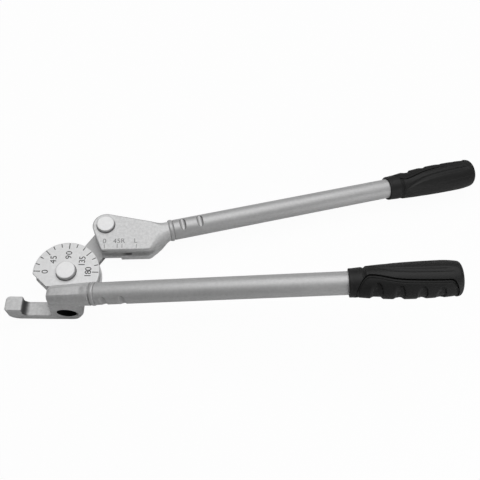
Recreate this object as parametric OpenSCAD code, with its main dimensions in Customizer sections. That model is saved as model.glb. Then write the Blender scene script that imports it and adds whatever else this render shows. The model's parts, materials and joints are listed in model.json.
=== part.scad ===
// Tube bending pliers: a grooved die on a fixed, cranked handle and a
// slide shoe on a swinging handle, joined by a link under both.
// Millimetres. Z is up along the die axis, X runs towards the handles.
// The origin is the die axis at the mid-height of the tube groove.

/* [Tube to be bent] */
// outside diameter of the tube that the tool bends
tube_d = 10; // [8:0.5:12]
// bend radius, measured to the tube's centre line
bend_r = 30; // [28:0.5:34]

/* [Die] */
// how far the tube centre line stands outside the die's rim
die_rim_drop = 1; // [0.5:0.1:2]
// height of the die, equal to the height of its two flanges and groove
die_h = 17.5; // [16:0.5:20]
// distance from the die axis to its flat seat on the fixed head
die_seat = 14.2; // [13:0.1:16]
// depth of the engraved scale lines
mark_depth = 0.4; // [0.2:0.1:0.8]
// width of the engraved scale lines
mark_w = 0.8; // [0.5:0.1:1.2]
// length of the long scale lines, every 45 degrees
mark_long = 6.4; // [5:0.1:8]
// length of the short scale lines, every 15 degrees
mark_short = 4.4; // [3:0.1:6]

/* [Pins and link] */
// shank diameter of both pivot pins
pin_d = 12; // [10:0.5:13]
// diameter of the die pin's round head
die_head_d = 17; // [15:0.5:18]
// height of the die pin's round head
die_head_h = 4.5; // [2.5:0.5:6]
// diameter of the shoe pin's round head
shoe_head_d = 16; // [15:0.5:18]
// height of the shoe pin's round head
shoe_head_h = 3.5; // [2.5:0.5:6]
// distance between the two pivot axes on the link
link_len = 56.5; // [55.5:0.5:58.5]
// width of the link
link_w = 22; // [21:0.5:23]
// thickness of the link
link_t = 5; // [4:0.25:5.5]
// wall of the plain bushes in the link
bush_wall = 2; // [1.5:0.25:3]
// thickness of the thrust washers above the link
thrust_t = 0.75; // [0.5:0.05:1.2]
// thickness of the washers below the link
washer_t = 0.8; // [0.5:0.1:1.2]
// thickness of the snap rings below the washers
clip_t = 0.6; // [0.5:0.1:1]

/* [Handle tubes] */
// outside diameter of the handle tubes
handle_d = 20; // [19:0.5:21]
// wall of the handle tubes
handle_wall = 1.5; // [1.2:0.1:2]
// upward crank of the fixed handle, degrees
fixed_tilt = 11.6; // [10:0.2:14]
// sideways lean of the fixed handle, degrees
fixed_yaw = 1.3; // [0:0.1:3]
// where the fixed handle's tube starts, along its axis
fixed_tube_start = 31.5; // [30:0.5:34]
// visible length of the fixed handle's tube, up to its grip
fixed_tube_show = 211; // [180:0.5:240]
// where the shoe handle's tube starts, along its axis from the shoe pin
shoe_tube_start = 60.5; // [60:0.5:66]
// visible length of the shoe handle's tube, up to its grip
shoe_tube_show = 220; // [180:0.5:240]
// length of the head's spigot inside each tube
spigot_len = 38; // [30:1:45]
// height of the bead over the tube where tube and head meet
collar_rise = 0.6; // [0.4:0.1:1.5]
// width of that bead
collar_w = 3.6; // [3:0.1:5]
// place of the first crimp notch, from the start of the tube
crimp_first = 7.5; // [6:0.1:10]
// place of the second crimp notch, from the start of the tube
crimp_second = 24; // [20:0.5:28]
// depth of the crimp notches that lock the tube on its spigot
crimp_depth = 0.9; // [0.5:0.1:1.1]

/* [Fixed head] */
// diameter of the hole for a bench pin in the fixed head
bench_d = 17; // [15:0.25:17.5]
// depth of that hole, down to the recess of the die screw
bench_depth = 10; // [8:0.5:10.5]
// how far the fixed head's underside lies below the ends of the pins
foot_extra = 1.5; // [0:0.25:2.5]
// thickness of the hook arm
hook_t = 8.8; // [7.5:0.1:9.5]
// depth of the hook arm along the tube
hook_depth = 13; // [10:0.5:15]
// height of the hook's tooth above the die's mid-height
tooth_top = 3; // [1:0.25:4]
// length of the hook's tooth
tooth_len = 14.5; // [12:0.5:18]

/* [Slide shoe] */
// height of the shoe's top face above the tube's centre line
shoe_top = 9.5; // [8.5:0.1:11]
// depth of the shoe's underside below the tube's centre line
shoe_bottom = 12.4; // [11:0.1:13]
// radius of the shoe's round end about its pin
shoe_end_r = 12.2; // [11.5:0.1:13]
// length of the tube groove in the shoe
shoe_groove_len = 43; // [38:0.5:45]
// angle between the shoe's groove and its handle, degrees
shoe_groove_turn = 11.5; // [10:0.5:13]
// distance of the shoe handle's axis from the shoe pin
shoe_axis_drop = 13.6; // [12.5:0.1:14.5]

/* [Grips] */
// length of the fixed handle's grip
fixed_grip_len = 88.5; // [80:0.5:100]
// length of the shoe handle's grip
shoe_grip_len = 95.5; // [85:0.5:105]
// greatest diameter of each grip
grip_d = 30.8; // [29:0.2:33]
// diameter of the grip's collar
grip_collar_d = 23.8; // [23.6:0.2:25]
// width of the soft finger inlay, seen from its side
inlay_w = 26; // [22:0.5:26]
// thickness of the soft finger inlay
inlay_t = 1.5; // [1:0.1:1.6]
// height of the finger ridges on the inlay
ridge_h = 1; // [0.5:0.1:1.5]

/* [Position and clearances] */
// direction of the link as drawn, degrees from +X
link_rest = 57.6; // [45:0.2:80]
// direction of the shoe handle as drawn, degrees from +X
shoe_rest = 14.2; // [10:0.1:20]
// play between a groove and the tube that lies in it, on the radius
tube_play = 0.1; // [0.05:0.05:0.2]
// play between the shoe and the die's rim when both hold the tube
rim_play = 1.9; // [1.5:0.1:2.5]
// gap between the shoe's top and the fixed tube that it passes under
pass_gap = 0.6; // [0.5:0.1:3]
// gap between the die and the fixed head's boss
boss_gap = 0.6; // [0.4:0.1:2]
// running clearance of the bushes on the pins, on the radius
run_play = 0.04; // [0.02:0.01:0.08]
// clearance of pressed and glued pieces, on the radius
seat_play = 0.02; // [0.01:0.01:0.03]
// gap between flat faces that slide on each other
slide_play = 0.05; // [0.03:0.01:0.1]
// gap between a washer and the pin that turns in it, on the radius
washer_play = 0.35; // [0.3:0.05:0.5]

/* [Hidden] */
$fn = 64;
tube_r = tube_d / 2;
groove_r = tube_r + tube_play;
die_r = bend_r - die_rim_drop;
die_top = die_h / 2;
die_bottom = -die_h / 2;
pin_r = pin_d / 2;
bush_r = pin_r + run_play + bush_wall;
thrust_top = die_bottom - slide_play;
link_top = thrust_top - thrust_t - slide_play;
link_bottom = link_top - link_t;
washer_top = link_bottom - slide_play;
clip_top = washer_top - washer_t - slide_play;
clip_bottom = clip_top - clip_t;
pin_end = clip_bottom - 0.4;
clip_groove_r = pin_r - 0.9;
handle_r = handle_d / 2;
spigot_r = handle_r - handle_wall - seat_play;
collar_r = handle_r + collar_rise;
// the shoe's front edge keeps clear of the die's rim when both hold the tube
shoe_edge = link_len - die_r - rim_play;
shoe_groove_at = link_len - bend_r;
shoe_edge_start = -3;
shoe_neck_r = handle_r - 0.6;
shoe_marks = [0.4, 11.2, 15.7, 28.3];
relief_at = link_w / 2 + 2;
// the fixed tube and its bead pass over the shoe's front edge at the end of the bend
fixed_axis_z = shoe_top + pass_gap + collar_r / cos(fixed_tilt) - (die_r + rim_play) * tan(fixed_tilt);
fixed_axis_y = die_seat + handle_r + boss_gap;
foot_drop = foot_extra - pin_end;
head_front = -fixed_axis_y - handle_r;
head_left = -10.8;
head_right = 16.4;
bench_x = 2.5;
bench_z = -3.9;
bench_floor = head_front + bench_depth;
screw_seat = bench_floor + 5.2;
shelf_z = -foot_drop + hook_t;
tooth_in = -bend_r - tube_r - 0.2;
tooth_out = tooth_in - tooth_len;
screw_d = 8;
screw_head_d = 13;
screw_head_h = 5;
screw_end = -pin_r - 2.2;
dowel_d = 5;
dowel_at = [-6.8, 12.6];
dowel_back = -die_seat - 4;
dowel_tip = -die_seat + 5;
cut_angle = 42;
cut_from = [-die_r * 0.985, -2.4];
grip_r = grip_d / 2;
grip_collar_r = grip_collar_d / 2;
grip_collar_w = 10;
grip_floor = 8;
grip_wide = 0.88;
grip_ends = [0.9, 0.92, 0.94, 0.955, 0.97, 0.98, 0.988, 0.994, 0.998];
grip_shares = concat([for (i = [0:35]) i / 40], grip_ends);
inlay_from = 0.06;
inlay_to = 0.955;
finger_first = 0.24;
finger_pitch = 0.185;
fixed_crimp_turn = 172;
shoe_crimp_turn = 92;
shoe_crimp_lead = 1.5;
fixed_grip_start = fixed_tube_start + fixed_tube_show;
shoe_grip_start = shoe_tube_start + shoe_tube_show;
// each tube ends one millimetre short of the floor of its grip
fixed_tube_len = fixed_tube_show + fixed_grip_len - grip_floor - 1;
shoe_tube_len = shoe_tube_show + shoe_grip_len - grip_floor - 1;
steel = [0.66, 0.66, 0.66];
bright = [0.86, 0.86, 0.86];
forged = [0.52, 0.52, 0.52];
black = [0.06, 0.06, 0.06];
soft = [0.10, 0.10, 0.10];

// points on an arc, from angle a0 to angle a1
function arc(c, r, a0, a1, n = 12) =
    [for (i = [0:n]) c + r * [cos(a0 + (a1 - a0) * i / n), sin(a0 + (a1 - a0) * i / n)]];

// grip radius at share t of its length, without ridges: it swells from the
// collar to the widest place and closes in a blunt dome
function grip_radius(t) =
    t < grip_wide
    ? grip_collar_r + (grip_r - grip_collar_r) * sin(90 * min(1, t / 0.8))
    : grip_r * sqrt(1 - pow((t - grip_wide) / (1 - grip_wide), 4));

// height of the finger pads at share t of the grip's length: one full wave
// per finger, faded out at both ends of the inlay
function ridge(t) =
    t < inlay_from || t > inlay_to
    ? 0
    : ridge_h * (1 - cos(360 * (t - finger_first) / finger_pitch)) / 2
        * pow(sin(180 * (t - inlay_from) / (inlay_to - inlay_from)), 0.4);

// length of the scale line at angle a
function mark_len(a) = a % 45 == 0 ? mark_long : mark_short;

// half width of the finger inlay: parallel sides with rounded ends
function inlay_half(t) =
    inlay_w / 2 * sqrt(max(0, 1 - pow(abs(2 * (t - inlay_from) / (inlay_to - inlay_from) - 1), 7)));

// turns what stands along Z to lie along X
module lying() {
    rotate([0, 90, 0]) children();
}

// frame of the fixed handle: X along its axis
module on_fixed_axis() {
    translate([0, -fixed_axis_y, fixed_axis_z]) rotate([0, -fixed_tilt, -fixed_yaw]) children();
}

// frame of the shoe: origin on the shoe pin, X along the shoe handle
module on_shoe() {
    translate([link_len * cos(link_rest), link_len * sin(link_rest), 0])
        rotate([0, 0, shoe_rest]) children();
}

// frame of the shoe handle: X along its axis
module on_shoe_axis() {
    on_shoe() translate([0, -shoe_axis_drop, 0]) children();
}

// frame of the shoe's groove: X along the groove, origin in front of the pin
module on_groove() {
    on_shoe() rotate([0, 0, -shoe_groove_turn]) children();
}

// plain ring between two heights
module ring(r_out, r_in, z0, z1) {
    translate([0, 0, z0])
        difference() {
            cylinder(h = z1 - z0, r = r_out);
            translate([0, 0, -1]) cylinder(h = z1 - z0 + 2, r = r_in);
        }
}

// headed pivot pin whose head sits on a face at height seat
module pivot_pin(seat, head_r, head_h) {
    head_round = 1;
    rotate_extrude()
        polygon(concat(
            [[0, pin_end], [pin_r - 0.5, pin_end], [pin_r, pin_end + 0.3]],
            [[pin_r, clip_bottom - slide_play], [clip_groove_r, clip_bottom - slide_play]],
            [[clip_groove_r, clip_top + slide_play], [pin_r, clip_top + slide_play]],
            [[pin_r, seat], [head_r, seat]],
            arc([head_r - head_round, seat + head_h - head_round], head_round, 0, 90, 6),
            [[0, seat + head_h]]
        ));
}

// snap ring with a gap, in the groove of a pivot pin
module snap_ring() {
    difference() {
        ring(pin_r + 1.6, clip_groove_r + seat_play, clip_bottom, clip_top);
        translate([0, -1.5, clip_bottom - 1]) cube([pin_r + 3, 3, clip_t + 2]);
    }
}

// handle tube with two crimp notches on the side that the angle names,
// both moved along the tube by lead
module handle_tube(start, len, side, lead) {
    notch_r = 2.2;
    difference() {
        translate([start, 0, 0]) lying() cylinder(h = len, r = handle_r);
        translate([start - 1, 0, 0]) lying() cylinder(h = len + 2, r = handle_r - handle_wall);
        for (at = [crimp_first, crimp_second])
            rotate([side, 0, 0])
                translate([start + at + lead, handle_r + notch_r - crimp_depth, 0])
                    cylinder(h = 2 * handle_d, r = notch_r, center = true);
    }
}

// bead where a tube meets its head
module bead(start) {
    translate([start, 0, 0]) lying()
        rotate_extrude()
            polygon(concat(
                [[spigot_r + seat_play, 0]],
                arc([collar_r - 1.2, 1.2], 1.2, -90, 0, 5),
                arc([collar_r - 1.2, collar_w - 1.2], 1.2, 0, 90, 5),
                [[spigot_r + seat_play, collar_w]]
            ));
}

// solid of revolution under the grip's outline, moved outwards by grow
module grip_form(start, len, grow, ridges) {
    translate([start, 0, 0]) lying()
        rotate_extrude()
            polygon(concat(
                [[0, 0]],
                [for (t = grip_shares) [grip_radius(t) + grow + (ridges ? ridge(t) : 0), len * t]],
                [[0, len + grow]]
            ));
}

// S-shaped panel on one side of the grip, standing outwards
module inlay_panel(start, len, side) {
    steps = 28;
    share = [for (i = [0:steps]) inlay_from + (inlay_to - inlay_from) * i / steps];
    back = [for (i = [steps - 1:-1:1]) share[i]];
    translate([start, 0, 0]) rotate([side * -90, 0, 0])
        linear_extrude(2 * grip_d)
            polygon(concat(
                [for (t = share) [t * len, inlay_half(t)]],
                [for (t = back) [t * len, -inlay_half(t)]]
            ));
}

// hard grip body with the pocket of its inlay, side +1 or -1 along Y
module grip_body(start, len, side) {
    groove_w = 1.2;
    groove_depth = 0.5;
    difference() {
        grip_form(start, len, 0, false);
        translate([start - 1, 0, 0]) lying()
            cylinder(h = len - grip_floor + 1, r = handle_r + seat_play);
        translate([start + grip_collar_w, 0, 0]) lying()
            ring(grip_collar_r + 4, grip_radius(grip_collar_w / len) - groove_depth, 0, groove_w);
        intersection() {
            inlay_panel(start, len, side);
            difference() {
                grip_form(start, len, 3, false);
                grip_form(start, len, -inlay_t, false);
            }
        }
    }
}

// soft finger inlay with its ridges
module grip_inlay(start, len, side) {
    intersection() {
        inlay_panel(start, len, side);
        difference() {
            grip_form(start, len, 0, true);
            grip_form(start, len, -inlay_t, false);
        }
    }
}

// grooved die with its scale, cut away where the straight tube enters
module bending_die() {
    edge = 0.6;
    color(bright)
        difference() {
            rotate_extrude()
                difference() {
                    polygon([
                        [pin_r + seat_play, die_bottom], [die_r - edge, die_bottom],
                        [die_r, die_bottom + edge], [die_r, die_top - edge],
                        [die_r - edge, die_top], [pin_r + seat_play, die_top]
                    ]);
                    translate([bend_r, 0]) circle(r = groove_r);
                }
            translate([-2 * die_r, -2 * die_r - die_seat, -die_h])
                cube([4 * die_r, 2 * die_r, 2 * die_h]);
            translate([cut_from[0], cut_from[1], -die_h])
                rotate([0, 0, -cut_angle])
                    translate([-die_r, -2 * die_r, 0]) cube([4 * die_r, 2 * die_r, 2 * die_h]);
            for (a = [0:15:180])
                rotate([0, 0, 180 - a])
                    translate([die_r - mark_len(a), -mark_w / 2, die_top - mark_depth])
                        cube([mark_long + 2, mark_w, 2]);
            translate([bench_x, -die_seat - 1, bench_z]) rotate([-90, 0, 0])
                cylinder(h = screw_end + die_seat + 1.5, d = screw_d + 2 * seat_play);
            for (x = dowel_at)
                translate([x, -die_seat - 1, bench_z]) rotate([-90, 0, 0])
                    cylinder(h = dowel_tip + die_seat + 1.5, d = dowel_d + 2 * seat_play);
        }
}

// outline of the lug seen from the front, up to the fixed handle's axis
module lug_outline(top_left, top_right) {
    corner = 12;
    polygon(concat(
        [[head_left, top_left], [head_left, -foot_drop]],
        arc([head_right - corner, -foot_drop + corner], corner, -90, 0),
        [[head_right, top_right]]
    ));
}

// outline of the hook arm and its tooth, seen from the front
module hook_outline() {
    heel = 10;
    seat = 4.5;
    tip = 1.5;
    root = 3.5;
    under = 1;
    polygon(concat(
        [[head_left + 2, -foot_drop], [head_left + 2, shelf_z + root]],
        arc([head_left - root, shelf_z + root], root, 0, -90, 6),
        arc([tooth_in - under + seat, shelf_z + seat], seat, 270, 180),
        arc([tooth_in - tip, tooth_top - tip], tip, 0, 90, 5),
        arc([tooth_out + 2 * tip, tooth_top - 2 * tip], 2 * tip, 90, 180, 6),
        arc([tooth_out + heel, -foot_drop + heel], heel, 180, 270)
    ));
}

// forged fixed head: boss, lug with the bench hole, hook and tube spigot
module fixed_head() {
    end_round = 3;
    end_r = handle_r - 1.4;
    boss_back = -10.5;
    boss_len = fixed_tube_start - boss_back;
    axis_left = fixed_axis_z + head_left * tan(fixed_tilt);
    axis_right = fixed_axis_z + head_right * tan(fixed_tilt);
    color(forged)
        difference() {
            union() {
                on_fixed_axis() translate([boss_back, 0, 0]) lying()
                    rotate_extrude()
                        polygon(concat(
                            [[0, 0]],
                            arc([end_r - end_round, end_round], end_round, -90, 0, 6),
                            [[handle_r, boss_len - collar_w], [spigot_r, boss_len - collar_w]],
                            [[spigot_r, boss_len + spigot_len], [0, boss_len + spigot_len]]
                        ));
                translate([0, -fixed_axis_y, 0]) rotate([90, 0, 0])
                    linear_extrude(handle_r) lug_outline(axis_left, axis_right);
                translate([0, -die_seat, 0]) rotate([90, 0, 0])
                    linear_extrude(fixed_axis_y - die_seat + 1) lug_outline(die_top - 1, die_top - 1);
                translate([0, head_front + hook_depth, 0]) rotate([90, 0, 0])
                    linear_extrude(hook_depth) hook_outline();
            }
            translate([bench_x, head_front - 1, bench_z]) rotate([-90, 0, 0])
                cylinder(h = bench_depth + 1, d = bench_d);
            translate([bench_x, bench_floor - 1, bench_z]) rotate([-90, 0, 0])
                cylinder(h = screw_seat - bench_floor + 1, d = screw_head_d + 0.6);
            translate([bench_x, bench_floor, bench_z]) rotate([-90, 0, 0])
                cylinder(h = -head_front, d = screw_d + 2 * seat_play);
            for (x = dowel_at)
                translate([x, dowel_back - 0.5, bench_z]) rotate([-90, 0, 0])
                    cylinder(h = fixed_axis_y, d = dowel_d + 2 * seat_play);
        }
}

// socket screw that holds the die, at the bottom of the bench hole
module die_screw() {
    socket = 6;
    socket_depth = 3;
    color(steel)
        translate([bench_x, 0, bench_z]) rotate([-90, 0, 0])
            difference() {
                union() {
                    translate([0, 0, screw_seat - screw_head_h])
                        cylinder(h = screw_head_h, d = screw_head_d);
                    translate([0, 0, screw_seat - 1])
                        cylinder(h = screw_end - screw_seat + 1, d = screw_d);
                }
                translate([0, 0, screw_seat - screw_head_h - 1])
                    cylinder(h = socket_depth + 1, d = socket / cos(30), $fn = 6);
            }
}

// two dowels that keep the die from turning on the head
module die_dowels() {
    color(steel)
        for (x = dowel_at)
            translate([x, dowel_back, bench_z]) rotate([-90, 0, 0])
                cylinder(h = dowel_tip - dowel_back, d = dowel_d);
}

// pivot pin of the link in the die
module die_pin() {
    color(bright) pivot_pin(die_top, die_head_d / 2, die_head_h);
}

// washer under the link on the die pin
module die_pin_washer() {
    color(steel) ring(pin_r + 4, pin_r + seat_play, washer_top - washer_t, washer_top);
}

// snap ring on the die pin
module die_pin_clip() {
    color(steel) snap_ring();
}

// tube of the fixed handle, crimped on the near side
module fixed_tube() {
    color(steel)
        on_fixed_axis() handle_tube(fixed_tube_start, fixed_tube_len, fixed_crimp_turn, 0);
}

// bead at the fixed handle's tube
module fixed_collar() {
    color(steel) on_fixed_axis() bead(fixed_tube_start - collar_w);
}

// hard grip body of the fixed handle
module fixed_grip() {
    color(black) on_fixed_axis() grip_body(fixed_grip_start, fixed_grip_len, -1);
}

// soft finger inlay of the fixed handle
module fixed_grip_inlay() {
    color(soft) on_fixed_axis() grip_inlay(fixed_grip_start, fixed_grip_len, -1);
}

// flat link under die and shoe
module link_plate() {
    color(steel)
        rotate([0, 0, link_rest])
            translate([0, 0, link_bottom])
                difference() {
                    union() {
                        cylinder(h = link_t, d = link_w);
                        translate([link_len, 0, 0]) cylinder(h = link_t, d = link_w);
                        translate([0, -link_w / 2, 0]) cube([link_len, link_w, link_t]);
                    }
                    for (x = [0, link_len])
                        translate([x, 0, -1]) cylinder(h = link_t + 2, r = bush_r + seat_play);
                }
}

// plain bush of the link on the die pin
module link_bush_die() {
    color(bright) ring(bush_r, pin_r + run_play, link_bottom, link_top);
}

// plain bush of the link on the shoe pin
module link_bush_shoe() {
    color(bright) on_shoe() ring(bush_r, pin_r + run_play, link_bottom, link_top);
}

// thrust washer between die and link
module die_thrust_washer() {
    color(bright) ring(link_w / 2 - 0.5, pin_r + washer_play, link_top, link_top + thrust_t);
}

// thrust washer between shoe and link
module shoe_thrust_washer() {
    color(bright) on_shoe() ring(link_w / 2 - 0.5, pin_r + washer_play, link_top, link_top + thrust_t);
}

// plan outline of the slide shoe in the shoe's frame
module shoe_outline() {
    front = function(e) [e * cos(shoe_groove_turn) - shoe_edge * sin(shoe_groove_turn),
        -e * sin(shoe_groove_turn) - shoe_edge * cos(shoe_groove_turn)];
    near_end = front(shoe_edge_start);
    far_end = front(shoe_edge_start + shoe_groove_len);
    neck = shoe_tube_start - collar_w - 4;
    neck_top = [neck - 6, -shoe_axis_drop + shoe_neck_r - 3.5];
    neck_bottom = [neck, -shoe_axis_drop - shoe_neck_r + 0.3];
    up_turn = atan2(neck_top[1], neck_top[0]) + acos(shoe_end_r / norm(neck_top));
    down_turn = atan2(near_end[1], near_end[0]) - acos(shoe_end_r / norm(near_end));
    polygon(concat(
        arc([0, 0], shoe_end_r, up_turn, 360 + down_turn, 24),
        [near_end, far_end, neck_bottom, [neck, neck_top[1]], neck_top]
    ));
}

// slide shoe with tube groove, link relief, marks and tube spigot
module shoe_head() {
    shoe_h = shoe_top + shoe_bottom;
    neck_from = shoe_tube_start - collar_w - 24;
    neck_to = shoe_tube_start - collar_w;
    color(steel)
        difference() {
            union() {
                on_shoe() translate([0, 0, -shoe_bottom]) linear_extrude(shoe_h) shoe_outline();
                on_shoe_axis() translate([neck_from, 0, 0]) lying()
                    cylinder(h = neck_to - neck_from, r = shoe_neck_r);
                on_shoe_axis() translate([neck_to - 1, 0, 0]) lying()
                    cylinder(h = collar_w + spigot_len + 1, r = spigot_r);
            }
            on_groove() translate([-shoe_groove_len, -shoe_groove_at, 0]) lying()
                cylinder(h = 3 * shoe_groove_len, r = groove_r);
            on_groove()
                translate([-3 * shoe_groove_len + relief_at, -2 * shoe_groove_len, -2 * shoe_bottom])
                    cube([3 * shoe_groove_len, 4 * shoe_groove_len, 2 * shoe_bottom + die_bottom]);
            on_groove()
                for (e = shoe_marks)
                    translate([e - mark_w / 2, -shoe_edge + 0.8, shoe_top - mark_depth])
                        cube([mark_w, 3.4, 2]);
            on_shoe() translate([0, 0, -2 * shoe_bottom])
                cylinder(h = 4 * shoe_bottom, r = pin_r + seat_play);
        }
}

// pivot pin of the shoe in the link
module shoe_pin() {
    color(bright) on_shoe() pivot_pin(shoe_top, shoe_head_d / 2, shoe_head_h);
}

// washer under the link on the shoe pin
module shoe_pin_washer() {
    color(steel) on_shoe() ring(pin_r + 4, pin_r + seat_play, washer_top - washer_t, washer_top);
}

// snap ring on the shoe pin
module shoe_pin_clip() {
    color(steel) on_shoe() snap_ring();
}

// tube of the shoe handle, crimped on its top
module shoe_tube() {
    color(steel)
        on_shoe_axis() handle_tube(shoe_tube_start, shoe_tube_len, shoe_crimp_turn, shoe_crimp_lead);
}

// bead at the shoe handle's tube
module shoe_collar() {
    color(steel) on_shoe_axis() bead(shoe_tube_start - collar_w);
}

// hard grip body of the shoe handle
module shoe_grip() {
    color(black) on_shoe_axis() grip_body(shoe_grip_start, shoe_grip_len, 1);
}

// soft finger inlay of the shoe handle
module shoe_grip_inlay() {
    color(soft) on_shoe_axis() grip_inlay(shoe_grip_start, shoe_grip_len, 1);
}

bending_die();
fixed_head();
die_screw();
die_dowels();
die_pin();
die_pin_washer();
die_pin_clip();
fixed_tube();
fixed_collar();
fixed_grip();
fixed_grip_inlay();
link_plate();
link_bush_die();
link_bush_shoe();
die_thrust_washer();
shoe_thrust_washer();
shoe_head();
shoe_pin();
shoe_pin_washer();
shoe_pin_clip();
shoe_tube();
shoe_collar();
shoe_grip();
shoe_grip_inlay();
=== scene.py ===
import json
import math

import bmesh
import bpy
import numpy as np
from mathutils import Matrix, Vector


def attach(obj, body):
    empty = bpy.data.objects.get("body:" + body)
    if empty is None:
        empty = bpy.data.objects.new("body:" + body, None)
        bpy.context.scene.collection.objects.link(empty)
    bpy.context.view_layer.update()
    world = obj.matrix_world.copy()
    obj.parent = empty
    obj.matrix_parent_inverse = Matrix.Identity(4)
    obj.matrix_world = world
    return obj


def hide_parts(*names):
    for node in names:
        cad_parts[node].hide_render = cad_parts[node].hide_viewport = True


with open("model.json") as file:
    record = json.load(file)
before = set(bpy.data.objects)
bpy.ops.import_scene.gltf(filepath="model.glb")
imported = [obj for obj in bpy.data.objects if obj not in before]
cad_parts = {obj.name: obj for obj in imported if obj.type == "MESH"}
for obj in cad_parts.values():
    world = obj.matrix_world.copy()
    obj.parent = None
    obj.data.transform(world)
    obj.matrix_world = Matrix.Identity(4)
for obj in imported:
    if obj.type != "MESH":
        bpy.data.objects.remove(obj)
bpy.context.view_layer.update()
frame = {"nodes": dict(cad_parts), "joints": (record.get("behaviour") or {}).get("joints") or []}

MM = 0.001

# sizes in millimetres and angles in degrees
DIE_R = 29.0
DIE_TOP = 8.75
DIE_SEAT = 14.2
BEND_R = 30.0
CUT_ANGLE = 42.0
CUT_FROM = (-28.565, -2.4)
MARK_W = 0.75
MARK_LONG = 6.4
MARK_SHORT = 4.4
GROOVE_R = 5.1
LIP_ANGLE = 78.69
PIN_R = 6.0
DIE_HEAD = (8.5, 4.5)
SHOE_HEAD = (8.0, 3.5)
PIN_END = -16.5
LINK_LEN = 56.5
LINK_ANGLE = 57.6
LINK_R = 11.0
LINK_LOW = -14.6
LINK_HIGH = -9.6
HANDLE_R = 10.0
TUBE_R = 9.6
TUBE_BORE_R = 8.5
BEAD_R = 10.2
BEAD_W = 3.6
CRIMP_PRESS_R = 3.0
FIXED_TUBE_START = 31.5
FIXED_GRIP = (242.5, 88.5)
SHOE_TUBE_START = 60.5
SHOE_GRIP = (280.5, 95.5)
GRIP_R = 15.1
GRIP_COLLAR_R = 11.5
GRIP_FLOOR = 8.0
GRIP_WIDE = 0.935
PANEL_FROM = 0.058
PANEL_TO = 0.942
FINGERS = ((0.237, 0.062, 65), (0.435, 0.052, 53), (0.630, 0.048, 46), (0.791, 0.044, 40))
FINGER_DEEP = 1.6
PALM_STEP = 0.145
FIXED_CRIMPS = np.array([7.5, 24.0])
SHOE_CRIMPS = np.array([9.0, 25.5])
FOOT = -18.0
HEAD_FRONT = -34.8
HEAD_LEFT = -10.8
HEAD_RIGHT = 16.4
FIXED_AXIS_Y = 24.8
FIXED_AXIS_Z = 14.578
FIXED_TILT = 11.6
FIXED_YAW = 1.3
BENCH_AT = np.array([2.5, -3.9])
BENCH_R = 8.5
BENCH_DEPTH = 10.0
SCREW_RECESS_R = 6.8
LUG_BACK = -24.3
SEAT_FRONT = -25.2
SHELF_Z = -9.2
TOOTH_IN = -35.2
TOOTH_OUT = -49.7
TOOTH_TOP = 3.0
SHOE_TURN = 14.2
SHOE_AXIS_DROP = 13.6
SHOE_TOP = 9.5
SHOE_LOW = -12.4
SHOE_RELIEF = -8.75
SHOE_EDGE = 25.6
SHOE_GROOVE_AT = 26.5
SHOE_GROOVE_TURN = 11.5
RELIEF_AT = 13.0
SHOE_END_R = 12.2
SHOE_FRONT = (-3.0, 40.0)
SHOE_EDGE_R = 1.0
SHOE_DIP = (47.0, -7.3)
SHOE_BACK = (-11.8, 3.0)
SPLIT_X = 40.0
NECK_FROM = 41.0
NECK_R = 9.0

# camera: place in metres, turn in degrees, lens in millimetres
CAMERA_AT = (0.11920569, -0.21368465, 0.47877773)
CAMERA_TURN = (27.921, -3.976, -0.642)
LENS = 42.9
FLOOR_WHITE = 0.965


# frames

def unit(v):
    """Each vector divided by its own length."""
    return v / np.linalg.norm(v, axis=-1, keepdims=True)


def turn_z(deg):
    """Matrix of a turn about Z."""
    c, s = math.cos(math.radians(deg)), math.sin(math.radians(deg))
    return np.array([[c, -s, 0], [s, c, 0], [0, 0, 1]])


def turn_y(deg):
    """Matrix of a turn about Y."""
    c, s = math.cos(math.radians(deg)), math.sin(math.radians(deg))
    return np.array([[c, 0, s], [0, 1, 0], [-s, 0, c]])


SHOE_PIN = np.array(frame["joints"][1]["pos_m"]) / MM
FIXED_FRAME = (np.array([0, -FIXED_AXIS_Y, FIXED_AXIS_Z]), turn_z(-FIXED_YAW) @ turn_y(-FIXED_TILT))
SHOE_FRAME = (SHOE_PIN, turn_z(SHOE_TURN))
SHOE_AXIS_FRAME = (SHOE_PIN + turn_z(SHOE_TURN) @ np.array([0, -SHOE_AXIS_DROP, 0]), turn_z(SHOE_TURN))
LINK_FRAME = (np.zeros(3), turn_z(LINK_ANGLE))
DIE_FRAME = (np.zeros(3), np.eye(3))


def placed(points, where):
    """Points turned by the frame's matrix, then moved to its origin."""
    origin, turn = where
    return points @ turn.T + origin


# mesh makers

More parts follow.
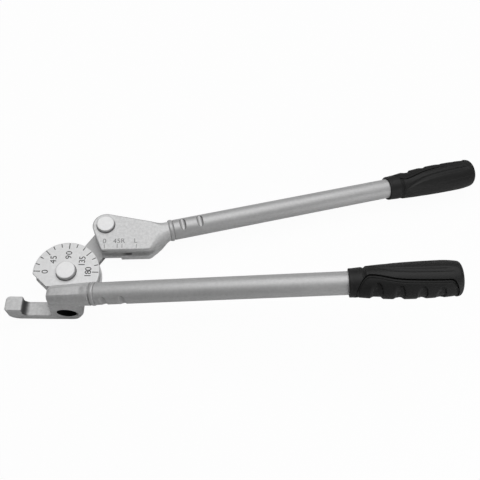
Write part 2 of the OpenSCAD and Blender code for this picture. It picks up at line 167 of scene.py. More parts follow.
def skin(name, grid, ring=False, tints=None, sharp=35, painted_shade=None):
    """Closed mesh over a grid of points in millimetres. Each row is a closed loop, and a face joins
    points j and j + 1 of row i with the same points of row i + 1. With ring the last row joins the
    first; otherwise each end row is closed by one flat face. tints gives each row of faces its
    material slot, and the shade values give each point's painted shade, from 0 (none) to 1 (darkest)."""
    rows, cols = grid.shape[:2]
    at = np.arange(rows * cols).reshape(rows, cols)
    low, high = (at, np.roll(at, -1, 0)) if ring else (at[:-1], at[1:])
    quads = np.stack([low, np.roll(low, -1, 1), np.roll(high, -1, 1), high], -1).reshape(-1, 4)
    faces = quads.tolist()
    slots = np.zeros(len(low), int) if tints is None else np.asarray(tints)
    slots = np.repeat(slots, cols).tolist()
    if not ring:
        faces += [at[0].tolist(), at[-1].tolist()]
        slots += [slots[0], slots[-1]]
    mesh = bpy.data.meshes.new(name)
    mesh.from_pydata(grid.reshape(-1, 3) * MM, [], faces)
    mesh.polygons.foreach_set("material_index", slots)
    # the per-point painted shade is kept as a mesh attribute
    if painted_shade is not None:
        dark = mesh.attributes.new("painted_shade", "FLOAT", "POINT")
        dark.data.foreach_set("value", np.ravel(painted_shade).astype(np.float32))
    work = bmesh.new()
    work.from_mesh(mesh)
    bmesh.ops.remove_doubles(work, verts=work.verts, dist=2e-6)
    bmesh.ops.recalc_face_normals(work, faces=work.faces)
    work.to_mesh(mesh)
    work.free()
    mesh.shade_smooth()
    mesh.set_sharp_from_angle(angle=math.radians(sharp))
    piece = bpy.data.objects.new(name, mesh)
    bpy.context.scene.collection.objects.link(piece)
    return piece


def turned_part(name, profile, where, axis="x", around=96, closed=False, painted_shade=None):
    """Surface of revolution: each profile point (distance along the axis, radius) goes round the
    axis as (along, radius cos a, radius sin a). The shade values give each profile point's painted shade."""
    along, radius = np.asarray(profile, float).T
    a = np.linspace(0, 2 * np.pi, around, endpoint=False)
    along = np.repeat(along[:, None], around, 1)
    one, two = radius[:, None] * np.cos(a), radius[:, None] * np.sin(a)
    order = [along, one, two] if axis == "x" else [one, two, along]
    dark = None if painted_shade is None else np.repeat(painted_shade, around)
    return skin(name, placed(np.stack(order, -1), where), ring=closed, painted_shade=dark)


def round_edge(centre, radius, start, end, steps=6):
    """Points of an arc: centre plus radius times (cos a, sin a), a going evenly from start to end."""
    a = np.radians(np.linspace(start, end, steps))
    return np.stack([centre[0] + radius * np.cos(a), centre[1] + radius * np.sin(a)], -1)


class Outline:
    """Rounded outline, anticlockwise. Each corner is an arc that touches both of its sides; its
    centre lies on the corner's bisector at radius / sin(half angle), and an inset moves the arc's
    points along their own directions."""

    def __init__(self, points, radii, steps=9):
        p, r = np.asarray(points, float), np.asarray(radii, float)
        back, ahead = unit(np.roll(p, 1, 0) - p), unit(np.roll(p, -1, 0) - p)
        half = np.arccos(np.clip((back * ahead).sum(1), -1, 1)) / 2
        outer = np.sign(ahead[:, 0] * back[:, 1] - ahead[:, 1] * back[:, 0])
        centre = p + unit(back + ahead) * (r / np.sin(half))[:, None]
        first = unit(p + back * (r / np.tan(half))[:, None] - centre)
        last = unit(p + ahead * (r / np.tan(half))[:, None] - centre)
        sweep = (np.pi - 2 * half)[:, None, None]
        s = np.linspace(0, 1, steps)[None, :, None]
        way = (np.sin((1 - s) * sweep) * first[:, None] + np.sin(s * sweep) * last[:, None]) / np.sin(sweep)
        wide = np.broadcast_to(r[:, None, None], way.shape)
        outer = np.broadcast_to(outer[:, None, None], way.shape)
        self.points = (centre[:, None] + way * wide).reshape(-1, 2)
        self.normals = (way * outer).reshape(-1, 2)
        self.centres = np.broadcast_to(centre[:, None], way.shape).reshape(-1, 2)
        self.radii = wide.reshape(-1, 2)
        self.outer = outer.reshape(-1, 2)

    def spread(self, count):
        """The same outline as evenly spaced points, with their directions carried along."""
        loop = np.concatenate([self.points, self.points[:1]])
        turns = np.concatenate([self.normals, self.normals[:1]])
        run = np.concatenate([[0], np.cumsum(np.linalg.norm(np.diff(loop, axis=0), axis=1))])
        at = np.linspace(0, run[-1], count, endpoint=False)
        points = np.stack([np.interp(at, run, loop[:, k]) for k in (0, 1)], -1)
        return points, unit(np.stack([np.interp(at, run, turns[:, k]) for k in (0, 1)], -1))

    def inset(self, by):
        """The outline moved inwards: outer corners shrink, and never past their centre."""
        reach = np.maximum(self.radii - self.outer * by, 0.01)
        return self.centres + self.normals * self.outer * reach


def edge_rows(low, high, edge, steps=5, ring=0.5):
    """Insets and heights of a slab with rounded edges: quarter circles of radius edge at the bottom
    and the top, with one more loop on each flat face so that it stays flat."""
    q = np.linspace(0, np.pi / 2, steps)
    inset, rise = edge * (1 - np.sin(q)), edge * (1 - np.cos(q))
    insets = np.concatenate([[edge + ring], inset, inset[::-1], [edge + ring]])
    heights = np.concatenate([[low], low + rise, high - rise[::-1], [high]])
    return insets, heights


def lying_z(points, heights):
    """Plan points and heights put together as x, y, z."""
    return np.concatenate([points, heights[..., None]], -1)


def lying_y(points, heights):
    """Front-view points and depths put together as x, depth, z."""
    return np.stack([points[..., 0], heights, points[..., 1]], -1)


def slab(name, outline, low, high, edge, where, side_shade):
    """Plate with rounded edges: the outline, inset row by row, at the rows' heights, with painted
    shade on the sides."""
    insets, heights = edge_rows(low, high, edge)
    points = np.stack([outline.inset(i) for i in insets])
    heights = np.broadcast_to(heights[:, None], points.shape[:2])
    # painted shade on the side walls, as strong as the last argument
    dark = np.repeat(side_shade * (insets < edge / 2), points.shape[1])
    return skin(name, placed(lying_z(points, heights), where), painted_shade=dark)


def smooth(x):
    """Smooth step from 0 to 1: 3 x^2 - 2 x^3 on the clipped x."""
    x = np.clip(x, 0, 1)
    return x * x * (3 - 2 * x)


# materials

def new_group(name, inputs, outputs):
    """Shader node group with named sockets: (name, kind, value) for inputs, (name, kind) for outputs."""
    group = bpy.data.node_groups.new(name, "ShaderNodeTree")
    for label, kind, value in inputs:
        group.interface.new_socket(label, in_out="INPUT", socket_type=kind).default_value = value
    for label, kind in outputs:
        group.interface.new_socket(label, in_out="OUTPUT", socket_type=kind)
    return group, group.nodes.new("NodeGroupInput"), group.nodes.new("NodeGroupOutput")


def noise(tree, coords, size, detail, rough=0.5):
    """Noise texture whose grains are about size metres across."""
    node = tree.nodes.new("ShaderNodeTexNoise")
    node.inputs["Scale"].default_value = 1 / size
    node.inputs["Detail"].default_value = detail
    node.inputs["Roughness"].default_value = rough
    tree.links.new(coords, node.inputs["Vector"])
    return node.outputs["Fac"]


def math_node(tree, kind, a, b, c=None):
    """Math node on sockets or plain numbers."""
    node = tree.nodes.new("ShaderNodeMath")
    node.operation = kind
    for i, value in enumerate([a, b] if c is None else [a, b, c]):
        if isinstance(value, (int, float)):
            node.inputs[i].default_value = value
        else:
            tree.links.new(value, node.inputs[i])
    return node.outputs[0]


def scaled(tree, colour, value):
    """Colour times a value."""
    node = tree.nodes.new("ShaderNodeVectorMath")
    node.operation = "SCALE"
    tree.links.new(colour, node.inputs[0])
    tree.links.new(value, node.inputs["Scale"])
    return node.outputs["Vector"]


def make_blasted_grain():
    """Fine grain and small mottles of shot-blasted, plated steel with soft cloudy smudges: the colour
    goes up and down by grain, mottles and smudges and darkens with the painted shade given per point,
    the roughness follows the smudges, the height is the grain."""
    group, given, out = new_group(
        "blasted_grain",
        [("Colour", "NodeSocketColor", (0.6, 0.6, 0.6, 1)), ("Grain", "NodeSocketFloat", 0.05),
         ("Smudge", "NodeSocketFloat", 0.06), ("Roughness", "NodeSocketFloat", 0.45),
         ("Painted shade", "NodeSocketFloat", 0.0)],
        [("Colour", "NodeSocketColor"), ("Roughness", "NodeSocketFloat"), ("Height", "NodeSocketFloat")],
    )
    coords = group.nodes.new("ShaderNodeTexCoord").outputs["Object"]
    fine = noise(group, coords, 0.0006, 3, 0.65)
    cloud = noise(group, coords, 0.022, 4, 0.55)
    mottle = noise(group, coords, 0.0024, 2, 0.5)
    grain = math_node(group, "ADD", fine, math_node(group, "MULTIPLY_ADD", mottle, 2.2, -1.6))
    grain = math_node(group, "MULTIPLY", grain, given.outputs["Grain"])
    smudge = math_node(group, "MULTIPLY", math_node(group, "SUBTRACT", cloud, 0.5), given.outputs["Smudge"])
    both = math_node(group, "ADD", math_node(group, "ADD", grain, smudge), 1.0)
    # painted shade: each point's shade value takes up to 85 % off the colour
    unshaded = math_node(group, "MULTIPLY_ADD", given.outputs["Painted shade"], -0.85, 1.0)
    both = math_node(group, "MULTIPLY", both, unshaded)
    group.links.new(scaled(group, given.outputs["Colour"], both), out.inputs["Colour"])
    rough = math_node(group, "MULTIPLY_ADD", smudge, 1.6, given.outputs["Roughness"])
    group.links.new(rough, out.inputs["Roughness"])
    group.links.new(fine, out.inputs["Height"])
    return group


def make_mould_grain():
    """Spark-eroded mould grain on black plastic: fine pits, and pale handling haze in large clouds."""
    group, given, out = new_group(
        "mould_grain",
        [("Colour", "NodeSocketColor", (0.02, 0.02, 0.02, 1)), ("Pit size", "NodeSocketFloat", 1800),
         ("Haze", "NodeSocketFloat", 0.3), ("Roughness", "NodeSocketFloat", 0.55)],
        [("Colour", "NodeSocketColor"), ("Roughness", "NodeSocketFloat"), ("Height", "NodeSocketFloat")],
    )
    coords = group.nodes.new("ShaderNodeTexCoord").outputs["Object"]
    pits = group.nodes.new("ShaderNodeTexVoronoi")
    group.links.new(coords, pits.inputs["Vector"])
    group.links.new(given.outputs["Pit size"], pits.inputs["Scale"])
    cloud = noise(group, coords, 0.018, 4, 0.6)
    haze = math_node(group, "MULTIPLY", math_node(group, "SUBTRACT", cloud, 0.5), given.outputs["Haze"])
    speck = math_node(group, "MULTIPLY", math_node(group, "SUBTRACT", pits.outputs["Distance"], 0.4), 0.25)
    both = math_node(group, "ADD", math_node(group, "ADD", haze, speck), 1.0)
    group.links.new(scaled(group, given.outputs["Colour"], both), out.inputs["Colour"])
    rough = math_node(group, "MULTIPLY_ADD", haze, 0.2, given.outputs["Roughness"])
    group.links.new(rough, out.inputs["Roughness"])
    group.links.new(pits.outputs["Distance"], out.inputs["Height"])
    return group


BLASTED = make_blasted_grain()
MOULDED = make_mould_grain()


def finish_from(name, group, values, metallic, bump, bump_depth, specular=0.5):
    """Material whose colour, roughness and bump come from a grain group, on one Principled shader."""
    material = bpy.data.materials.new(name)
    material.use_nodes = True
    tree = material.node_tree
    shader = tree.nodes["Principled BSDF"]
    grain = tree.nodes.new("ShaderNodeGroup")
    grain.node_tree = group
    for label, value in values.items():
        grain.inputs[label].default_value = value
    # painted shade: the mesh's per-point shade values feed the group's shade input
    if "Painted shade" in grain.inputs:
        dark = tree.nodes.new("ShaderNodeAttribute")
        dark.attribute_name = "painted_shade"
        tree.links.new(dark.outputs["Fac"], grain.inputs["Painted shade"])
    tree.links.new(grain.outputs["Colour"], shader.inputs["Base Color"])
    tree.links.new(grain.outputs["Roughness"], shader.inputs["Roughness"])
    height = tree.nodes.new("ShaderNodeBump")
    height.inputs["Strength"].default_value = bump
    height.inputs["Distance"].default_value = bump_depth
    tree.links.new(grain.outputs["Height"], height.inputs["Height"])
    tree.links.new(height.outputs["Normal"], shader.inputs["Normal"])
    shader.inputs["Metallic"].default_value = metallic
    shader.inputs["Specular IOR Level"].default_value = specular
    return material


def steel(name, grey, rough, metallic, grain=0.10, smudge=0.10, bump=0.25):
    """Blasted steel of one grey."""
    values = {"Colour": (grey, grey, grey * 1.003, 1), "Grain": grain, "Smudge": smudge, "Roughness": rough}
    return finish_from(name, BLASTED, values, metallic, bump, 0.00006, 0.12)


def black(name, grey, rough, pit, haze, bump):
    """Moulded black of one grey."""
    values = {"Colour": (grey, grey, grey, 1), "Pit size": pit, "Haze": haze, "Roughness": rough}
    return finish_from(name, MOULDED, values, 0.0, bump, 0.0001, 0.2)


DIE_STEEL = steel("die_face_steel", 0.72, 0.40, 0.12)
FORGED_STEEL = steel("forged_head_steel", 0.55, 0.48, 0.42, grain=0.2, smudge=0.2, bump=0.4)
# painted highlight: a lighter, glossier copy of the forged head steel for the bright band on the boss
BOSS_HIGHLIGHT_STEEL = steel("boss_highlight_steel", 0.67, 0.50, 0.50, grain=0.15, smudge=0.2, bump=0.3)
# painted light: a lighter, less metallic copy of the forged head steel for the hook's brighter faces
HOOK_LIT_STEEL = steel("hook_lit_steel", 0.61, 0.50, 0.10, grain=0.2, smudge=0.2, bump=0.4)
SHOE_STEEL = steel("forged_shoe_steel", 0.66, 0.46, 0.12, grain=0.2, smudge=0.2, bump=0.4)
TUBE_STEEL = steel("plated_tube_steel", 0.53, 0.55, 0.46)
LINK_STEEL = steel("link_plate_steel", 0.48, 0.45, 0.12)
PIN_STEEL = steel("pin_head_steel", 0.80, 0.36, 0.12, grain=0.06)
SCREW_STEEL = steel("dark_screw_steel", 0.06, 0.5, 0.4)
# painted shade: near-black colour on the hole's wall, for the shade inside the hole
BORE_SHADE = steel("bench_bore_painted_shade", 0.012, 0.6, 0.3)
BUSH_BRONZE = finish_from(
    "bush_bronze", BLASTED,
    {"Colour": (0.45, 0.28, 0.12, 1), "Grain": 0.1, "Smudge": 0.1, "Roughness": 0.4},
    0.8, 0.2, 0.00005)
GRIP_HARD = black("hard_grip_black", 0.018, 0.5, 1900, 0.3, 0.25)
GRIP_SOFT = black("soft_finger_black", 0.014, 0.62, 1500, 0.3, 0.35)
MARK_FILL = steel("engraved_line_grey", 0.045, 0.7, 0.0, grain=0.2, smudge=0.3)
# painted shadow: dark grey ring where each pin's head meets the face
PIN_SHADOW_FILL = steel("painted_pin_shadow_grey", 0.18, 0.7, 0.0, grain=0.2, smudge=0.3)
SHOE_MARK_FILL = steel("worn_mark_grey", 0.22, 0.6, 0.2, grain=0.3, smudge=0.3)


def dress(piece, body, slot, *materials, nodes=()):
    """Materials, body and stood-for CAD nodes for one piece. The slot argument is not used."""
    for material in materials:
        piece.data.materials.append(material)
    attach(piece, body)
    if nodes:
        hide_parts(*nodes)
    return piece


# die, pins and link

def die_body():
    """Grooved die: each profile point (radius, height) goes round the axis, and the radius at
    angle a stops at the flat seat and at the slanted cut, at distance / cos(a - direction). The groove
    is darkened with painted shade."""
    edge = 0.6
    groove = round_edge((BEND_R, 0), GROOVE_R, 180 + LIP_ANGLE, 180 - LIP_ANGLE, 21)
    under = np.concatenate([
        [[0.01, -DIE_TOP], [DIE_R - edge - 1, -DIE_TOP]],
        round_edge((DIE_R - edge, -DIE_TOP + edge), edge, -90, 0, 5),
    ])
    profile = np.concatenate([
        under,
        groove,
        round_edge((DIE_R - edge, DIE_TOP - edge), edge, 0, 90, 5),
        [[DIE_R - edge - 1, DIE_TOP], [0.01, DIE_TOP]],
    ])
    cut = math.radians(-CUT_ANGLE - 90)
    cut_reach = math.cos(cut) * CUT_FROM[0] + math.sin(cut) * CUT_FROM[1]
    corner = math.asin(DIE_SEAT / DIE_R)
    meet = math.atan2(-DIE_SEAT, (cut_reach + DIE_SEAT * math.sin(cut)) / math.cos(cut))
    start = cut + 2 * math.pi - math.acos(cut_reach / DIE_R)
    a = np.concatenate([
        np.linspace(-corner, start, 180),
        np.linspace(start, meet + 2 * math.pi, 24)[1:],
        np.linspace(meet + 2 * math.pi, 2 * math.pi - corner, 24)[1:-1],
    ])
    seat = np.where(np.sin(a) < -0.05, DIE_SEAT / -np.minimum(np.sin(a), -0.05), 1e3)
    slant = np.where(np.cos(a - cut) > 0.05, cut_reach / np.maximum(np.cos(a - cut), 0.05), 1e3)
    stop = np.minimum(seat, slant)
    radius = np.minimum(profile[:, :1], stop[None])
    height = np.broadcast_to(profile[:, 1:], radius.shape)
    shade = np.zeros(len(profile))
    in_groove = slice(len(under), len(under) + len(groove))
    # painted shade inside the groove, strongest at its middle
    shade[in_groove] = 0.55 * np.sin(np.linspace(0, np.pi, len(groove))) ** 0.5
    shade = shade[:, None] * (stop[None] > profile[:, :1] + 0.01)
    grid = np.stack([radius * np.cos(a), radius * np.sin(a), height], -1)
    return skin("bending_die_body", grid, sharp=32, painted_shade=shade)


def pivot_pin(name, seat, head, where):
    """Headed pin: revolved profile with a rounded head, a shank and a chamfered end. The wall of the
    head carries painted shade, darker than its face."""
    head_r, top = head[0], seat + head[1]
    profile = np.concatenate([
        [[PIN_END, 0.01], [PIN_END, PIN_R - 0.9], [PIN_END, PIN_R - 0.5], [PIN_END + 0.3, PIN_R],
         [seat, PIN_R], [seat, head_r - 0.5], [seat + 0.5, head_r]],
        round_edge((top - 0.9, head_r - 0.9), 0.9, 90, 0, 7),
        [[top, head_r - 1.4], [top, 0.01]],
    ])
    # painted shade on the head's wall, fading over its rounded top edge
    dark = np.concatenate([np.zeros(5), [0.45, 0.4], np.linspace(0.35, 0, 7), np.zeros(2)])
    return turned_part(name, profile, where, axis="z", around=80, painted_shade=dark)


def pin_seam(name, seat, head, where):
    """Painted contact shadow round a pin's head: a dark flat ring on the face, revolved."""
    inner, outer = head[0] - 0.6, head[0] + 0.6
    profile = [[seat - 0.04, inner], [seat - 0.04, outer], [seat + 0.02, outer], [seat + 0.02, inner]]
    return turned_part(name, profile, where, axis="z", closed=True)


def link_body():
    """Link plate: the outline of two half circles and two straights, as a slab with rounded edges."""
    outline = Outline(
        [[-LINK_R, -LINK_R], [LINK_LEN + LINK_R, -LINK_R], [LINK_LEN + LINK_R, LINK_R], [-LINK_R, LINK_R]],
        [LINK_R - 0.001] * 4, 25)
    return slab("link_plate_body", outline, LINK_LOW, LINK_HIGH, 0.7, LINK_FRAME, 0.4)


dress(die_body(), "fixed_handle", "die_steel", DIE_STEEL, nodes=["bending_die"])
PINS = (("die_pin", "fixed_handle", "die_steel", (DIE_TOP, DIE_HEAD, DIE_FRAME)),
        ("shoe_pin", "shoe_handle", "shoe_steel", (SHOE_TOP, SHOE_HEAD, SHOE_FRAME)))
for pin, body, _, seated in PINS:
    dress(pivot_pin(pin + "_turned", *seated), body, "pin_steel", PIN_STEEL, nodes=[pin])
# painted shadow rings round the pin heads
for pin, body, face, seated in PINS:
    dress(pin_seam(pin + "_shadow_ring", *seated), body, face, PIN_SHADOW_FILL)
dress(link_body(), "link", "link_steel", LINK_STEEL, nodes=["link_plate"])


# scale lines and figures

def strips(name, starts, ends, widths, z, thick=0.06):
    """Flat bars: each runs from its start to its end in plan, as wide as given, from z - thick to z.
    Corner = end point plus or minus half the width across the bar's direction."""
    starts, ends = np.asarray(starts, float), np.asarray(ends, float)
    across = unit(ends - starts)[:, ::-1] * np.array([-1, 1]) * np.asarray(widths, float)[:, None] / 2
    plan = np.stack([starts - across, ends - across, ends + across, starts + across], 1)
    low = np.concatenate([plan, np.full(plan.shape[:2] + (1,), z - thick)], -1)
    high = np.concatenate([plan, np.full(plan.shape[:2] + (1,), z)], -1)
    points = np.concatenate([low, high], 1)
    box = np.array([[3, 2, 1, 0], [4, 5, 6, 7], [0, 1, 5, 4], [1, 2, 6, 5], [2, 3, 7, 6], [3, 0, 4, 7]])
    faces = (np.arange(len(points))[:, None, None] * 8 + box[None]).reshape(-1, 4)
    mesh = bpy.data.meshes.new(name)
    mesh.from_pydata(points.reshape(-1, 3) * MM, [], faces.tolist())
    piece = bpy.data.objects.new(name, mesh)
    bpy.context.scene.collection.objects.link(piece)
    return piece


def figures(name, items, height, z, turn):
    """Stamped figures: each text, laid flat and made a mesh, is turned by its angle and moved to its
    place in plan. All become one mesh."""
    work = bmesh.new()
    for text, place, angle in items:
        curve = bpy.data.curves.new(name + "_" + text, "FONT")
        curve.body = text
        curve.size = height
        curve.align_x = "CENTER"
        curve.align_y = "CENTER"
        curve.space_character = 0.84 if len(text) == 3 else 1.06
        curve.extrude = 0.03
        curve.resolution_u = 4
        word = bpy.data.objects.new(name + "_" + text, curve)
        bpy.context.scene.collection.objects.link(word)
        bpy.context.view_layer.update()
        flat = bpy.data.meshes.new_from_object(word.evaluated_get(bpy.context.evaluated_depsgraph_get()))
        bpy.data.objects.remove(word)
        turned = Matrix.Rotation(math.radians(angle + turn), 4, "Z")
        flat.transform(Matrix.Translation((*place, z)) @ turned)
        work.from_mesh(flat)
        bpy.data.meshes.remove(flat)
    mesh = bpy.data.meshes.new(name)
    work.to_mesh(mesh)
    work.free()
    mesh.transform(Matrix.Scale(MM, 4))
    piece = bpy.data.objects.new(name, mesh)
    bpy.context.scene.collection.objects.link(piece)
    return piece


def die_marks():
    """Scale lines every 15 degrees, long ones every 45, from the rim inwards."""
    a = np.arange(0, 181, 15)
    way = np.radians(180 - a)
    way = np.stack([np.cos(way), np.sin(way)], -1)
    length = np.where(a % 45 == 0, MARK_LONG, MARK_SHORT)[:, None]
    starts, ends = way * (DIE_R - MARK_W), way * (DIE_R - length)
    piece = strips("die_scale_lines", starts, ends, np.full(len(a), MARK_W), DIE_TOP + 0.02)
    return dress(piece, "fixed_handle", "die_steel", MARK_FILL)


def die_figures():
    """Degrees at the long lines, read from the hook's side."""
    a = np.radians(180 - np.array([0, 45, 90, 135, 180]))
    reach = np.array([18.4, 17.6, 16.9, 17.6, 18.8])
    shift = np.array([[0.2, -0.4], [0, -0.8], [0.6, -0.5], [0.5, -2.0], [0.5, -0.2]])
    spots = np.stack([np.cos(a), np.sin(a)], -1) * reach[:, None] + shift
    items = [(str(d), p, 0) for d, p in zip([0, 45, 90, 135, 180], spots.tolist())]
    piece = figures("die_scale_figures", items, 7.9, DIE_TOP, 90)
    return dress(piece, "fixed_handle", "die_steel", MARK_FILL)


die_marks()
die_figures()


# tubes, beads and grips

def handle_tube(name, start, end, crimp, where):
    """Tube with two pressed crimps: the outer radius stops at a chord, (radius - depth) / cos of the
    angle from the crimp's middle, and along the tube the depth follows a circle. The first edge is
    chamfered, and the bore, pressed in with the crimps, closes the loop. The rims get painted shade as
    dark lines: at each angle a rim is where the pressed depth equals the chord's drop."""
    crimp_side, deep, near_dark, crimps = crimp
    press = CRIMP_PRESS_R
    x = np.concatenate([[start, start + 0.45], np.linspace(start + 0.6, start + 30, 230),
                        np.linspace(start + 31, end, 8)])
    a = np.linspace(0, 2 * np.pi, 180, endpoint=False)
    off = (np.degrees(a) - crimp_side + 180) % 360 - 180
    gap = x[:, None] - start - crimps
    round_off = press - np.sqrt(np.clip(press ** 2 - gap ** 2, 0, None))
    depth = np.clip(deep - round_off, 0, None).max(1)
    chord = (TUBE_R - depth[:, None]) / np.maximum(np.cos(np.radians(off)), 0.2)
    outer = np.minimum(TUBE_R, chord)
    drop = TUBE_R * (1 - np.cos(np.radians(off)))
    rim_at = np.sqrt(np.clip(press ** 2 - (drop - deep + press) ** 2, 0, None))
    to_far = np.abs(gap[:, None] - rim_at[None, :, None] + 0.3).min(-1)
    to_near = np.abs(gap[:, None] + rim_at[None, :, None] - 0.3).min(-1)
    # painted shade: dark lines along the crimps' rims
    rim = np.maximum(0.8 * np.exp(-(to_far / 0.45) ** 2), near_dark * np.exp(-(to_near / 0.4) ** 2))
    rim = rim * smooth((deep + 0.2 - drop) / 0.4)
    outer[0] -= 0.45
    inner = np.minimum(TUBE_BORE_R, outer - 0.9)
    radius = np.concatenate([outer, inner[::-1]])
    along = np.broadcast_to(np.concatenate([x, x[::-1]])[:, None], radius.shape)
    grid = np.stack([along, radius * np.cos(a), radius * np.sin(a)], -1)
    return skin(name, placed(grid, where), ring=True, sharp=28, painted_shade=np.concatenate([rim, 0 * rim]))


def bead(name, end, width, round_r, where):
    """Bead between head and tube: a ring whose outer edge is two quarter arcs. It stops just short of
    the tube."""
    start = end - width
    profile = np.concatenate([
        [[start, TUBE_BORE_R], [start, BEAD_R - round_r]],
        round_edge((start + round_r, BEAD_R - round_r), round_r, 180, 90, 6),
        round_edge((end - 0.1 - round_r, BEAD_R - round_r), round_r, 90, 0, 6),
        [[end - 0.1, TUBE_BORE_R]],
    ])
    return turned_part(name, profile, where, closed=True)


def grip_radius(t):
    """Plain grip radius at share t of the length: quarter sine up to the widest place, a crown that
    falls with the square of t, and a blunt end with the factor sqrt(1 - u^4)."""
    rise = GRIP_COLLAR_R + (GRIP_R - GRIP_COLLAR_R) * np.sin(np.pi / 2 * np.minimum(1, t / 0.8))
    crown = 1 - 0.065 * np.clip((t - 0.8) / 0.14, 0, None) ** 2
    u = np.clip((t - GRIP_WIDE) / (1 - GRIP_WIDE), 0, 1)
    return rise * crown * np.sqrt(np.clip(1 - u ** 4, 0, 1))


def panel_half(t):
    """Half angle of the finger panel, degrees: wide near the collar, then nearly even; the near end
    closes in a long curve and the far end in a short one."""
    wide = 64.5 + 28 * np.exp(-((t - 0.168) / 0.2) ** 2) + 3.5 * np.exp(-((t - 0.5) / 0.2) ** 2)
    near = np.clip((0.18 - t) / (0.18 - PANEL_FROM), 0, 1)
    far = np.clip((t - 0.87) / (PANEL_TO - 0.87), 0, 1)
    return wide * np.sqrt(np.clip(1 - near ** 1.6, 0, 1) * np.clip(1 - far ** 2, 0, 1))


def grip_body(name, start, length, side, where):
    """Hard grip: the plain radius with a slim collar, a step up to the palm, swept grooves that run
    from the step along the palm, and the pocket of the finger panel. Angles are counted from the
    finger side; a groove's edge is last + swing exp(-(t - 0.15) / fade)."""
    t = np.concatenate([[0, 0.001], np.linspace(0.004, 0.2, 90), np.linspace(0.203, 0.88, 150),
                        1 - 0.12 * np.linspace(1, 0, 90)[1:] ** 2])
    a = np.linspace(0, 2 * np.pi, 270, endpoint=False)
    off = (np.degrees(a) - side + 180) % 360 - 180
    tt, oo = t[:, None], off[None]
    size = np.abs(oo)
    plain = grip_radius(tt)
    radius = plain + np.zeros_like(oo)
    radius += 0.2 * np.exp(-((tt - 0.012) / 0.012) ** 2) + 0.1 * np.sin(np.pi * np.clip(tt / 0.14, 0, 1))
    palm = smooth((size - 62) / 26)
    radius += palm * (0.45 * smooth((tt - PALM_STEP) / 0.012) * smooth((0.8 - tt) / 0.6)
                      - 0.8 * np.exp(-((tt - PALM_STEP + 0.012) / 0.010) ** 2))
    for last, swing, fade, deep, wide in ((90, 48, 0.16, 1.0, 17), (132, 44, 0.22, 0.35, 12)):
        line = last + swing * np.exp(-(np.maximum(tt, 0.13) - 0.15) / fade)
        gap = size - np.minimum(line, 176)
        fold = smooth((gap + 3) / 4.5) * smooth((wide - gap) / 9)
        radius -= deep * fold * smooth((tt - 0.14) / 0.04) * smooth((0.95 - tt) / 0.12) * palm
    inside = (panel_half(tt) - size) * np.pi / 180 * plain
    on_length = ((tt > PANEL_FROM) & (tt < PANEL_TO)).astype(float)
    pocket = np.minimum(2.9, plain - TUBE_R - 0.6)
    radius -= pocket * smooth((inside + 0.5) / 0.6) * on_length
    radius[0] -= 0.4
    radius = np.minimum(radius, np.where(tt > GRIP_WIDE, plain + 0.02, 1e3))
    radius[-1] = 0.02
    along = np.broadcast_to(start + length * tt, radius.shape)
    bore = np.stack([np.full(len(a), r) for r in (0.02, TUBE_R + 0.02, TUBE_R + 0.02)])
    bore_x = np.array([start + length - GRIP_FLOOR] * 2 + [start])
    radius = np.concatenate([bore, radius])
    along = np.concatenate([np.broadcast_to(bore_x[:, None], bore.shape), along])
    grid = np.stack([along, radius * np.cos(a), radius * np.sin(a)], -1)
    return skin(name, placed(grid, where), sharp=50)


def grip_inlay(name, start, length, side, where):
    """Soft finger panel: it lies lower than the plain radius towards its ends, is rolled down at its
    edge, and has a line inside the edge and four finger hollows. A hollow is a flat-floored oval in
    share of length and angle, steeper at its far end."""
    s = np.sin(np.linspace(-np.pi / 2, np.pi / 2, 260)) * 0.5 + 0.5
    t = PANEL_FROM + 0.004 + (PANEL_TO - PANEL_FROM - 0.008) * s
    v = np.sin(np.linspace(-np.pi / 2, np.pi / 2, 120))
    half = np.maximum(panel_half(t) - 2.8, 0.5)
    off = half[:, None] * v[None]
    base = grip_radius(t)[:, None]
    to_edge = (half[:, None] - np.abs(off)) * np.pi / 180 * base
    to_end = np.minimum(t - PANEL_FROM, PANEL_TO - t)[:, None] * length
    roll = np.minimum(to_edge, to_end)
    lift = 0.5 * smooth(roll / 1.8) ** 0.6 - 0.45 * np.exp(-((roll - 2.0) / 0.4) ** 2)
    sink = (1.2 * smooth((t - 0.4) / 0.5) + 0.4 * (1 - smooth((t - 0.08) / 0.15)))[:, None]
    hollow = np.zeros_like(off)
    for mid, reach, wide in FINGERS:
        ahead = (t[:, None] - mid) / reach
        oval = np.sqrt(np.abs(ahead) ** 2.6 + np.abs(off / wide) ** 2.6)
        width = np.where(ahead > 0, 0.06, 0.7)
        hollow = np.maximum(hollow, smooth((1 - oval) / width))
    outer = base + lift - 0.1 - sink - FINGER_DEEP * hollow
    inner = np.broadcast_to(np.maximum(base - 3.3, HANDLE_R + 0.5), outer.shape)
    turned = np.radians(side + off)
    radius = np.concatenate([outer, inner[:, ::-1]], 1)
    a = np.concatenate([turned, turned[:, ::-1]], 1)
    along = np.broadcast_to((start + length * t)[:, None], radius.shape)
    grid = np.stack([along, radius * np.cos(a), radius * np.sin(a)], -1)
    return skin(name, placed(grid, where), sharp=50)


